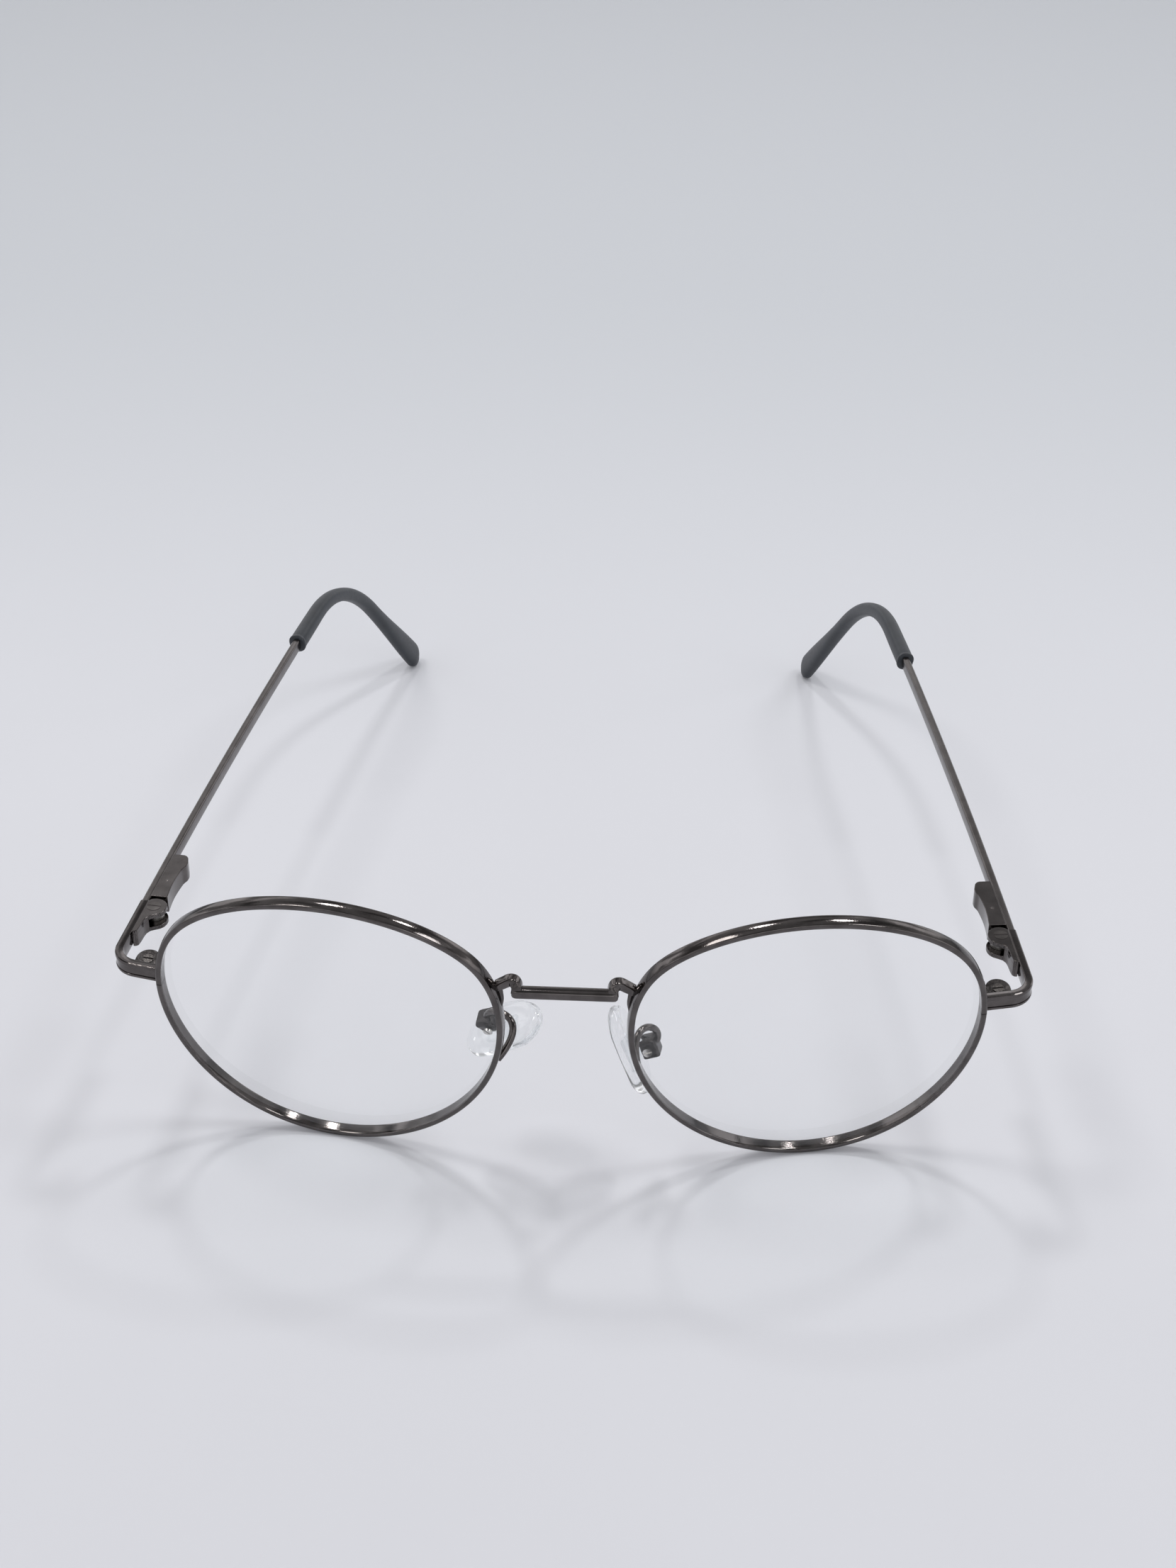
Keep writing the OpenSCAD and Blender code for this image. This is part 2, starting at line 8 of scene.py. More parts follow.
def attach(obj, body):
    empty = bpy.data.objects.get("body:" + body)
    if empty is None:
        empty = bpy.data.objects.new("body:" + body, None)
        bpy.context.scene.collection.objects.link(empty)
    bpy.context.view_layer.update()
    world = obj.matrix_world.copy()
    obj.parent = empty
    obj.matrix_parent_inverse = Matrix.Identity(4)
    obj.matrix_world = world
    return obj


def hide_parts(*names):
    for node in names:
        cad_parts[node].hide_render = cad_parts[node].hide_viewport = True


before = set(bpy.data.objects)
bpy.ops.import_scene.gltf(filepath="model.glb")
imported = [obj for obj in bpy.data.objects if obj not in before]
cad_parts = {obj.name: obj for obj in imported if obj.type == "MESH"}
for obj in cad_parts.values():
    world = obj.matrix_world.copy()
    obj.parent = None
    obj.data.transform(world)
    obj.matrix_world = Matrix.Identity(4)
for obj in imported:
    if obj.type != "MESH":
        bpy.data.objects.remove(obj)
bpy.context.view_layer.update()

# Without a seed of its own, the noise would start from the clock and differ on each run.
NOISE_SEED = 1
noise.seed_set(NOISE_SEED)

# The new pieces are drawn on the right, in millimetres and degrees, and mirrored for the left.
MM = 0.001
SIDES = {"left": -1, "right": 1}

# The middle between the lenses, as it stands in the shared frame.
MIDDLE_Y, LENS_UP = 66.037, 24.9886

# A lens: its radius, and the waves that pull its outline out of round as shares of the radius.
LENS_R, LEAN, DROP, SQUARE = 23.8, 0.036, 0.041, 0.011
# Its place beside the middle, its turn round the face and its tilt.
LENS_X, WRAP, PANT = 32.3, 9, 11.5
LENS_CURVE, LENS_T = 135, 1.4
LENS_EDGE, LENS_LIP = 0.05, 0.26

# The rim wire, and the angle and height of the gap where it is split.
RIM_T, RIM_D, SPLIT_AT, SPLIT_GAP = 0.9, 1.9, 2.5, 0.2
CLOSE_U, CLOSE_W, CLOSE_R = 26.5, 2.55, 1.75

BRIDGE_UP, BRIDGE_FRONT, BRIDGE_BAR, BRIDGE_HALF = 10.7, 7.05, 1.45, 7
BRIDGE_DEPTH, LEG_Y = 1.66, -4.95

# The pads, each with its own place and turn, and the first two points that steer its arm.
PAD_L, PAD_W, PAD_T, PAD_PIN = 14, 8.4, 2.2, 2.9
PAD = {"right": ((8.4, 3.4, -6.4), (-6, -22, -5)), "left": ((9, 4.75, -4.7), (36, -46, -20))}
ARM = {"right": ((8.75, -1.8, -3.6), (8, 1.2, 1.4)), "left": ((8.5, -1.9, -3.6), (4.2, 0.6, 1.6))}
ARM_D = 1
ARM_IN_RIM = (0.85, -0.6, -0.3)
CLAMP_HALF, CLAMP_ROUGHNESS = 1.46, 0.13

# The hinge's axis, and how far the temple turns out from straight back.
HINGE = (59.4, 16.6, 4.3)
SPLAY, HINGE_H, SLOT = 6.5, 2.7, 1.3
HOUSING_START, HOUSING_END = 2.4, 12.8

# The endpiece bar, from the rim round its corner to the temple.
BAR_X, BUTT_Y, BAR_T, BAR_H = 1.85, 1.4, 1.2, 2.3
CORNER_R, CORNER_TURN, BAR_FRONT, BAR_SIDE = 3.4, 83, 3.75, 10.5

# The temple, its bend behind the ear, and the sleeve over its end.
TEMPLE_T, TEMPLE_H, TO_BEND, BOW = 1.15, 1.9, 88, 2.5
BEND_R, BEND, ROLL, TIP_L = 28, 53.5, 13.5, 22.7
SLEEVE_LEAD, SLEEVE_D, FLARE_H = 10.8, 2.6, 5

# The camera, from its fit to the photo: metres, directions and millimetres of focal length.
EYE = (0.01426, -0.312054, 0.226915)
EYE_RIGHT, EYE_UP = (0.99871, 0.0505, 0.00471), (-0.03173, 0.54954, 0.83487)
EYE_AHEAD = (-0.03957, 0.83394, -0.55043)
FOCAL_LENGTH, SENSOR_WIDTH = 53.707, 36


def rot(x=0, y=0, z=0):
    return Euler([math.radians(v) for v in (x, y, z)], "XYZ").to_matrix().to_4x4()


def move(x, y, z):
    return Matrix.Translation((x, y, z))


IN_FRAME = move(0, -MIDDLE_Y, LENS_UP)
IN_RIM = IN_FRAME @ rot(x=PANT) @ move(LENS_X, 0, 0) @ rot(z=WRAP)
IN_HINGE = IN_FRAME @ move(*HINGE) @ rot(z=SPLAY)


def in_pad(side):
    place, turn = PAD[side]
    return IN_FRAME @ move(*place) @ rot(*turn)


# ---------------------------------------------------------------- mesh making


def finish_mesh(name, bm, side, smooth_angle=38, bevel=None, level=0):
    """A mesh drawn on the right in millimetres becomes an object in metres on its side."""
    s = SIDES.get(side, 1)
    for v in bm.verts:
        v.co = Vector((v.co.x * s, v.co.y, v.co.z)) * MM
    bmesh.ops.remove_doubles(bm, verts=bm.verts, dist=1e-7)
    bmesh.ops.recalc_face_normals(bm, faces=bm.faces)
    mesh = bpy.data.meshes.new(name)
    bm.to_mesh(mesh)
    bm.free()
    for p in mesh.polygons:
        p.use_smooth = True
    mesh.set_sharp_from_angle(angle=math.radians(smooth_angle))
    obj = bpy.data.objects.new(name, mesh)
    bpy.context.scene.collection.objects.link(obj)
    if bevel:
        edges = obj.modifiers.new("edges", "BEVEL")
        edges.width = bevel * MM
        edges.segments = 3
        edges.limit_method = "ANGLE"
        edges.angle_limit = math.radians(35)
        edges.harden_normals = True
    if level:
        smoother = obj.modifiers.new("smooth", "SUBSURF")
        smoother.levels = level
        smoother.render_levels = level
    return obj


def around(count):
    """Each place on a ring, with the next one."""
    return [(j, (j + 1) % count) for j in range(count)]


def add_bands(bm, rings):
    """Bands between rings of the same number of points. It gives back their vertices."""
    rows = [[bm.verts.new(p) for p in ring] for ring in rings]
    for a, b in zip(rows, rows[1:]):
        for j, k in around(len(a)):
            bm.faces.new((a[j], a[k], b[k], b[j]))
    return rows


def add_loft(bm, rings):
    """A closed skin over rings of the same number of points."""
    rows = add_bands(bm, rings)
    bm.faces.new(rows[0])
    bm.faces.new(list(reversed(rows[-1])))


def add_prism(bm, points, low, high, place):
    """An upright prism over a flat outline."""
    add_loft(bm, [[place @ Vector((x, y, z)) for x, y in points] for z in (low, high)])


def add_ball(bm, radius, centre, squash, place):
    """A ball, flattened or stretched upwards by squash."""
    for v in bmesh.ops.create_icosphere(bm, subdivisions=3, radius=radius)["verts"]:
        v.co = place @ Vector((v.co.x + centre[0], v.co.y + centre[1], v.co.z * squash + centre[2]))


def rounded(w, h, r, n=4):
    """Points round a rectangle with rounded corners."""
    out = []
    for cx, cy, a0 in ((1, 1, 0), (-1, 1, 90), (-1, -1, 180), (1, -1, 270)):
        for i in range(n + 1):
            a = math.radians(a0 + 90 * i / n)
            out.append((cx * (w / 2 - r) + r * math.cos(a), cy * (h / 2 - r) + r * math.sin(a)))
    return out


def arc(cx, cy, r, a0, a1, n):
    """Points round part of a circle, from the angle a0 to a1."""
    return [(cx + r * math.cos(math.radians(a0 + (a1 - a0) * i / n)),
             cy + r * math.sin(math.radians(a0 + (a1 - a0) * i / n))) for i in range(n + 1)]


def curve_through(points, n):
    """Smooth places along a row of points, n to each stretch."""
    pts = [Vector(p) for p in points]
    pts = [2 * pts[0] - pts[1]] + pts + [2 * pts[-1] - pts[-2]]
    out = []
    for i in range(1, len(pts) - 2):
        a, b, c, d = pts[i - 1:i + 3]
        for k in range(n):
            t = k / n
            out.append(0.5 * (2 * b + (c - a) * t + (2 * a - 5 * b + 4 * c - d) * t * t
                              + (3 * b - a - 3 * c + d) * t ** 3))
    out.append(pts[-2])
    return out


def sweep(bm, path, section, across, place, scale):
    """A section carried along a path. Its first axis keeps to the direction across, and scale
    gives the size of both axes from the share of the path gone by."""
    across = Vector(across)
    last = len(path) - 1
    rings = []
    for i, p in enumerate(path):
        d = (path[min(i + 1, last)] - path[max(i - 1, 0)]).normalized()
        a = (across - d * d.dot(across)).normalized()
        b = d.cross(a)
        wide, tall = scale(i / last)
        rings.append([place @ (p + a * x * wide + b * y * tall) for x, y in section])
    add_loft(bm, rings)


def give(obj, material, body, slot, *nodes):
    """A piece gets its material, the body it rides and the CAD nodes it stands for. The slot is not
    used.
    """
    obj.data.materials.append(material)
    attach(obj, body)
    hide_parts(*nodes)


# ---------------------------------------------------------------- materials


class Nodes:
    """A node tree, with short ways to add to it."""

    def __init__(self, owner):
        owner.use_nodes = True
        self.tree = owner.node_tree

    def add(self, kind, inputs=None, **settings):
        """A node, with each input given as a value or as the output to link to it."""
        node = self.tree.nodes.new(kind)
        for key, value in settings.items():
            setattr(node, key, value)
        for key, value in (inputs or {}).items():
            if hasattr(value, "is_output"):
                self.tree.links.new(value, node.inputs[key])
            else:
                node.inputs[key].default_value = value
        return node

    def ramp(self, value, *stops):
        """A colour for each value, from stops of a place and a colour, lowest first."""
        node = self.add("ShaderNodeValToRGB", {"Fac": value})
        elements = node.color_ramp.elements
        for element, (at, colour) in ((elements[0], stops[0]), (elements[-1], stops[-1])):
            element.position = at
            element.color = (*colour, 1)
        for at, colour in stops[1:-1]:
            elements.new(at).color = (*colour, 1)
        return node.outputs["Color"]


class Surface(Nodes):
    """A material: one Principled shader, varied by the place on the piece."""

    def __init__(self, name):
        self.material = bpy.data.materials.new(name)
        super().__init__(self.material)
        self.shader = self.tree.nodes["Principled BSDF"]
        self.place = self.add("ShaderNodeTexCoord").outputs["Object"]

    def link(self, output, name):
        self.tree.links.new(output, self.shader.inputs[name])

    def set(self, **values):
        """Constants on the shader's own sockets, with _ for a space in a socket's name."""
        for name, value in values.items():
            self.shader.inputs[name.replace("_", " ")].default_value = value

    def noise(self, scale, detail):
        return self.add("ShaderNodeTexNoise", {
            "Vector": self.place, "Scale": scale, "Detail": detail, "Roughness": 0.55,
        }).outputs["Fac"]

    def span(self, value, low, high):
        return self.add("ShaderNodeMapRange", {
            "Value": value, "To Min": low, "To Max": high}).outputs[0]

    def bump(self, height, strength, distance):
        out = self.add("ShaderNodeBump", {
            "Height": height, "Strength": strength, "Distance": distance}).outputs[0]
        self.link(out, "Normal")


def metal(name, dark, light, rough, grain=0.25, fine=2600):
    """A metal with faint patches of two colours and a fine grain."""
    m = Surface(name)
    m.link(m.ramp(m.noise(420, 5), (0.32, dark), (0.68, light)), "Base Color")
    m.link(m.span(m.noise(fine, 3), rough * 0.75, rough * 1.3), "Roughness")
    m.set(Metallic=1.0)
    m.bump(m.noise(fine * 1.5, 2), grain, 0.00002)
    return m.material


gunmetal = metal("polished_gunmetal", (0.088, 0.080, 0.078), (0.130, 0.119, 0.116), 0.09)
satin = metal("satin_gunmetal", (0.112, 0.102, 0.099), (0.152, 0.140, 0.136), 0.2)
cast = metal("cast_gunmetal", (0.022, 0.020, 0.020), (0.06, 0.056, 0.055), 0.2, 0.9, 900)
screw_steel = metal("turned_steel", (0.10, 0.092, 0.088), (0.19, 0.175, 0.168), 0.15)
spring_steel = metal("spring_steel", (0.5, 0.49, 0.47), (0.65, 0.64, 0.62), 0.2)
inner_steel = metal("machined_steel", (0.36, 0.35, 0.33), (0.5, 0.49, 0.47), 0.28)


def lens_material():
    """Almost unrefracting clear glass with a coat. Light and shadow pass straight through it."""
    m = Surface("clear_lens")
    m.link(m.ramp(m.noise(60, 2), (0.3, (0.985, 0.99, 0.99)), (0.7, (0.995, 0.998, 1.0))),
           "Base Color")
    m.link(m.span(m.noise(300, 3), 0.0, 0.012), "Roughness")
    m.set(IOR=1.02, Transmission_Weight=1.0, Coat_Weight=0.6, Coat_Roughness=0.01)
    see = m.add("ShaderNodeBsdfTransparent", {"Color": (0.97, 0.98, 0.98, 1)})
    ray = m.add("ShaderNodeLightPath").outputs
    straight = m.add("ShaderNodeMath", {0: ray["Is Shadow Ray"], 1: ray["Is Diffuse Ray"]},
                     operation="MAXIMUM").outputs[0]
    mix = m.add("ShaderNodeMixShader",
                {"Fac": straight, 1: m.shader.outputs[0], 2: see.outputs[0]})
    m.tree.links.new(mix.outputs[0], m.tree.nodes["Material Output"].inputs[0])
    return m.material


def pad_material(name, dark, light, rough, ior):
    """A clear soft plastic, a little cloudy."""
    m = Surface(name)
    m.link(m.ramp(m.noise(300, 3), (0.3, dark), (0.7, light)), "Base Color")
    m.link(m.span(m.noise(1500, 3), rough * 0.7, rough * 1.4), "Roughness")
    m.set(IOR=ior, Transmission_Weight=0.97, Coat_Weight=0.5, Coat_Roughness=0.06)
    m.bump(m.noise(700, 2), 0.12, 0.00004)
    return m.material


def tip_material():
    m = Surface("satin_tip")
    dark, light = (0.0085, 0.0115, 0.0165), (0.015, 0.0195, 0.027)
    m.link(m.ramp(m.noise(500, 5), (0.3, dark), (0.7, light)), "Base Color")
    m.link(m.span(m.noise(1800, 4), 0.36, 0.52), "Roughness")
    m.set(IOR=1.5, Coat_Weight=0.12, Coat_Roughness=0.35)
    m.bump(m.noise(3500, 3), 0.2, 0.00002)
    return m.material


clear_lens = lens_material()
clear_pad = pad_material("clear_silicone", (0.955, 0.97, 0.975), (0.985, 0.992, 0.995), 0.05, 1.2)
clear_core = pad_material("clear_core", (0.93, 0.95, 0.96), (0.97, 0.98, 0.985), 0.12, 1.06)
tip_plastic = tip_material()

# The small and hidden pieces show the CAD's own shapes. Any other node is gunmetal.
CAD_LOOKS = {
    "hinge_screw": screw_steel, "closing_screw": screw_steel, "pad_screw": spring_steel,
    "hinge_tongue": inner_steel, "hinge_collar": inner_steel, "spring_stop": inner_steel,
    "hinge_spring": spring_steel, "pad_insert": clear_core,
}
for name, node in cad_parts.items():
    look = CAD_LOOKS.get(name.replace("_left", "").replace("_right", ""), gunmetal)
    node.data.materials.clear()
    node.data.materials.append(look)


# ---------------------------------------------------------------- rims and lenses


def outline(a, out):
    """A point of the lens outline at the angle a, moved outwards by out."""
    t = math.radians(a)
    reach = LENS_R * (1 - LEAN * math.sin(2 * t) + DROP * math.sin(3 * t)
                      - SQUARE * math.cos(4 * t))
    slope = LENS_R * (-2 * LEAN * math.cos(2 * t) + 3 * DROP * math.cos(3 * t)
                      + 4 * SQUARE * math.sin(4 * t))
    return ((reach + out) * math.cos(t) - slope * math.sin(t),
            (reach + out) * math.sin(t) + slope * math.cos(t))


def round_the_lens(bm, section, start, turn, count):
    """A section of distances out and back, carried round the lens outline."""
    rings = []
    for i in range(count + 1):
        ring = []
        for out, back in section:
            u, v = outline(start + turn * i / count, out)
            ring.append(IN_RIM @ Vector((u, back, v)))
        rings.append(ring)
    add_loft(bm, rings)


def make_rim(side):
    """The wire: a flat inner face, and a slightly convex outer face between rounded edges."""
    h = RIM_D / 2
    round_r = 0.26
    round_x = RIM_T - 0.07 - round_r
    half = [(0.0, 0), (0.0, 0.3), (0.0, 0.6), (0.0, h - 0.16), (0.05, h - 0.05), (0.16, h)]
    half += arc(round_x, h - round_r, round_r, 90, 0, 4)
    half += [(RIM_T - 0.03, 0.4), (RIM_T - 0.005, 0.16)]
    section = half + [(x, -y) for x, y in reversed(half[1:])]
    # In the photo the gap looks half as wide as the CAD has it.
    gap = SPLIT_GAP / 2
    gap_turn = 2 * math.degrees(math.asin(gap / 2 / LENS_R))
    bm = bmesh.new()
    round_the_lens(bm, section, SPLIT_AT + gap_turn / 2, 360 - gap_turn, 288)
    obj = finish_mesh("rim_wire_" + side, bm, side, 30)
    give(obj, gunmetal, "frame", "frame_metal", "rim_" + side)


def make_lens(side):
    """A domed disc: rings out over its front, a lip that reaches into the wire, and rings back."""
    centre = math.sqrt(LENS_CURVE ** 2 - LENS_R ** 2) - LENS_T / 2
    front_r, back_r = LENS_CURVE, LENS_CURVE - LENS_T
    count, steps = 144, 14

    def on_dome(u, v, r):
        return IN_RIM @ Vector((u, centre - math.sqrt(r * r - u * u - v * v), v))

    def edge(out):
        return [outline(360 * i / count, out) for i in range(count)]

    def ring(step, r):
        share = step / steps
        return [on_dome(u * share, v * share, r) for u, v in edge(LENS_EDGE)]

    rings = [ring(k, front_r) for k in range(1, steps + 1)]
    rings += [[IN_RIM @ Vector((u, 0, v)) for u, v in edge(LENS_LIP)]]
    rings += [ring(k, back_r) for k in range(steps, 0, -1)]
    bm = bmesh.new()
    rows = add_bands(bm, rings)
    for row, r in ((rows[0], front_r), (rows[-1], back_r)):
        hub = bm.verts.new(on_dome(0, 0, r))
        for j, k in around(count):
            bm.faces.new((row[j], row[k], hub))
    obj = finish_mesh("lens_disc_" + side, bm, side, 30)
    give(obj, clear_lens, "frame", "lens", "lens_" + side)


# ---------------------------------------------------------------- bridge


def make_bridge():
    """A straight bar with rounded ends, and a knee and a leg from each end to its rim."""
    bm = bmesh.new()
    y, up, h = BRIDGE_DEPTH / 2 - BRIDGE_FRONT, BRIDGE_UP, BRIDGE_HALF
    ends = [(0, 0.5), (0.05, 0.68), (0.15, 0.82), (0.3, 0.92), (0.5, 0.98), (0.8, 1)]
    steps = [(e - h, k) for e, k in ends] + [(h - e, k) for e, k in reversed(ends)]
    face = rounded(BRIDGE_DEPTH, BRIDGE_BAR, 0.5, 7)
    rings = [[IN_FRAME @ Vector((x, y + a * k, up + b * k)) for a, b in face] for x, k in steps]
    add_loft(bm, rings)
    for s in (-1, 1):
        knee = curve_through([(s * 6.35, -6.1, up - 0.1), (s * 6.3, -5.9, up + 0.75),
                              (s * 6.65, -5.6, up + 1.28), (s * 7.3, -5.3, up + 1.2),
                              (s * 8.1, -5.1, up + 0.62), (s * 9.0, LEG_Y, up - 0.02)], 8)
        sweep(bm, knee, rounded(1.6, 1.4, 0.32, 4), (0, 1, 0.1), IN_FRAME,
              lambda t: (1.05 - 0.15 * t, 1.05 - 0.2 * t))
        leg = curve_through([(s * 8.8, -5.1, up + 0.4), (s * 8.55, -5.0, up - 1.1),
                             (s * 8.4, LEG_Y, up - 2.3), (s * 8.55, -5.0, up - 3.6)], 6)
        sweep(bm, leg, rounded(1.0, 1.0, 0.45, 4), (0, 1, 0), IN_FRAME,
              lambda t: (1.05 - 0.6 * t, 0.9 - 0.5 * t))
        # Beads of solder where the leg meets the rim.
        for x, z, r in ((8.75, -0.15, 0.62), (8.65, -1.0, 0.45), (8.9, 0.35, 0.5)):
            add_ball(bm, r, (s * x, LEG_Y, up + z), 1.2, IN_FRAME)
    obj = finish_mesh("bridge_bar", bm, "right", 40)
    give(obj, gunmetal, "frame", "frame_metal", "bridge")


# ---------------------------------------------------------------- nose pads


def make_pad(side):
    """A D-shaped cushion, lofted through its thickness and drawn in at both faces."""
    place = in_pad(side)
    count = 72
    flat_side = 1 - PAD_W / 2
    base = []
    for i in range(count):
        a = 2 * math.pi * i / count
        y, z = PAD_W / 2 * math.cos(a), PAD_L / 2 * math.sin(a)
        if y < flat_side:
            y = flat_side + (y - flat_side) * 0.25
        base.append((y, z))
    # Places through a half thickness of 1.1, each with the share of the full outline there.
    half = [(-1.1, 0.5), (-1.08, 0.68), (-0.98, 0.8), (-0.78, 0.9), (-0.45, 0.975)]
    profile = half + [(0, 1.0)] + [(-x, k) for x, k in reversed(half)]
    rings = []
    for x, k in profile:
        wide, tall = 1 - (1 - k) * 1.25, 1 - (1 - k) * 0.78
        rings.append([place @ Vector((x * PAD_T / 2.2, y * wide, z * tall)) for y, z in base])
    bm = bmesh.new()
    add_loft(bm, rings)
    obj = finish_mesh("pad_silicone_" + side, bm, side, 60)
    give(obj, clear_pad, "pad_" + side, "pad", "nose_pad_" + side)


def make_pad_box(side):
    """The box behind the pad: a U that opens towards it, with rough walls."""
    place = in_pad(side)
    x0, x1 = PAD_PIN - 1.05, PAD_PIN + 1.42
    bottom = x1 - 0.55
    inner = [(x0 + (bottom - x0) * i / 4, -0.7) for i in range(5)]
    outer = [(x0 + (x1 - x0) * i / 4, -1.32) for i in range(5)]
    inner += [(bottom, 0)] + [(x, -y) for x, y in reversed(inner)]
    outer += [(x1, -0.7), (x1, 0), (x1, 0.7)] + [(x, -y) for x, y in reversed(outer)]
    shape = outer + list(reversed(inner))
    heights = (-CLAMP_HALF, -1.0, -0.5, 0, 0.5, 1.0, CLAMP_HALF)
    bm = bmesh.new()
    add_loft(bm, [[place @ Vector((x, y, z)) for x, y in shape] for z in heights])
    for v in bm.verts:
        v.co += noise.noise_vector(v.co * 1.7) * CLAMP_ROUGHNESS
    obj = finish_mesh("pad_clamp_" + side, bm, side, 50, level=2)
    give(obj, cast, "frame", "dark_metal", "pad_box_" + side)


def make_pad_arm(side):
    """A bent wire, from inside the rim round to the back of the pad box."""
    to_frame = IN_FRAME.inverted() @ in_pad(side)
    a, b = (Vector(point) for point in ARM[side])
    a += Vector(ARM_IN_RIM)
    c = to_frame @ Vector((PAD_PIN + 3.4, 0, 3))
    d = to_frame @ Vector((PAD_PIN + 1.3, 0, 0.6))
    path = []
    for i in range(49):
        t = i / 48
        path.append((1 - t) ** 3 * a + 3 * t * (1 - t) ** 2 * b + 3 * t * t * (1 - t) * c
                    + t ** 3 * d)
    bm = bmesh.new()
    sweep(bm, path, arc(0, 0, ARM_D / 2, 0, 337.5, 15), (0.3, 1, 0.2), IN_FRAME,
          lambda t: (1 + 0.12 * max(0, 0.12 - t) / 0.12, 1))
    obj = finish_mesh("pad_wire_" + side, bm, side, 50)
    give(obj, gunmetal, "frame", "frame_metal", "pad_arm_" + side)


# ---------------------------------------------------------------- endpieces


def bar_path():
    """The middle of the endpiece bar, from the rim round the corner to the temple. Each place
    comes with the angle that faces outwards there."""
    corner = Vector((BAR_X - CORNER_R, BUTT_Y - BAR_SIDE, 0))
    out = []
    a = math.radians(-CORNER_TURN)
    start = corner + CORNER_R * Vector((math.cos(a), math.sin(a), 0))
    ahead = Vector((math.sin(a), -math.cos(a), 0))
    for k in (1, 0.5):
        out.append((start + ahead * BAR_FRONT * k, a))
    for i in range(25):
        b = a + math.radians(CORNER_TURN) * i / 24
        out.append((corner + CORNER_R * Vector((math.cos(b), math.sin(b), 0)), b))
    out += [(Vector((BAR_X, BUTT_Y - BAR_SIDE * k, 0)), 0.0) for k in (0.66, 0.33, 0.0)]
    return out


def make_endpiece(side):
    """A bar with two ridges along its outer face."""
    t, h = BAR_T / 2, BAR_H / 2
    face = [(t - 0.22, -h), (t - 0.06, 0.06 - h), (t, 0.2 - h), (t, 0.36 - h), (t - 0.03, 0.44 - h),
            (t - 0.17, 0.5 - h), (t - 0.17, 0.58 - h), (t - 0.05, 0.64 - h), (t - 0.07, 0.9 - h),
            (t - 0.07, h - 0.68), (t - 0.06, h - 0.6), (t, h - 0.52), (t, h - 0.24),
            (t - 0.05, h - 0.08), (t - 0.2, h)]
    section = face + [(0.25 - t, h), (0.07 - t, h - 0.07), (-t, h - 0.25), (-t, 0.25 - h),
                      (0.07 - t, 0.07 - h), (0.25 - t, -h)]
    rings = []
    for p, a in bar_path():
        outwards = Vector((math.cos(a), math.sin(a), 0))
        rings.append([IN_HINGE @ (p + outwards * x + Vector((0, 0, z))) for x, z in section])
    bm = bmesh.new()
    add_loft(bm, rings)
    obj = finish_mesh("endpiece_bar_" + side, bm, side, 24)
    give(obj, gunmetal, "frame", "frame_metal", "endpiece_" + side)


def make_closing_blocks(side):
    """The two halves of the tab beside the rim, one above the gap and one below it."""
    block_v = outline(SPLIT_AT, 0)[1]
    block_u = outline(SPLIT_AT, RIM_T)[0] - 0.1
    far_u = CLOSE_U + CLOSE_R
    shape = [(block_u, 0.75), (CLOSE_U + 1.5, 1.1), (far_u, 1.5), (far_u, CLOSE_W)]
    shape += arc(CLOSE_U, CLOSE_W, CLOSE_R, 0, 180, 20)
    shape += [(block_u, 1.9)]
    place = IN_RIM @ move(0, 0, block_v)
    for name, low, high in (("upper", SPLIT_GAP / 2, 0.98), ("lower", -1.5, -SPLIT_GAP / 2)):
        bm = bmesh.new()
        add_prism(bm, shape, low, high, place)
        obj = finish_mesh("closing_%s_%s" % (name, side), bm, side, 30, bevel=0.14)
        give(obj, cast, "frame", "frame_metal", "closing_block_%s_%s" % (name, side))


def make_fork(side):
    """The two plates of the hinge, joined by a foot on the endpiece."""
    wall_x = BAR_X - BAR_T / 2
    foot_y, front_y = -2.05, -6.1
    edge = arc(0, 0, 1.85, 62, 180, 14)
    edge += [(-1.82, -0.55), (-1.62, -1.15), (-1.2, -1.65), (-0.6, -2.0), (0.0, -2.4),
             (0.32, -3.0), (0.42, -3.8), (0.46, -5.0), (0.56, -5.75), (0.85, -6.05)]
    plate = edge + [(wall_x, front_y), (wall_x, 1.2)]
    bm = bmesh.new()
    for low, high in ((SLOT / 2, HINGE_H / 2 - 0.02), (-HINGE_H / 2, -SLOT / 2)):
        add_prism(bm, plate, low, high, IN_HINGE)
    foot = [p for p in edge if p[1] < foot_y] + [(wall_x, front_y), (wall_x, foot_y)]
    add_prism(bm, foot, -SLOT / 2 - 0.1, SLOT / 2 + 0.1, IN_HINGE)
    obj = finish_mesh("fork_plates_" + side, bm, side, 30, bevel=0.1)
    give(obj, gunmetal, "frame", "frame_metal", "hinge_fork_" + side)


def housing_half_width(y):
    """How far the housing reaches in from the temple: a waist, and a bulge before the end."""
    stop = min(y, 10.2)
    width = 1.2 - 0.25 * math.sin(math.radians(180 * (stop - HOUSING_START) / 7))
    if y > 9.4:
        width += 0.25 * math.sin(math.radians(90 * (stop - 9.4)))
    return width


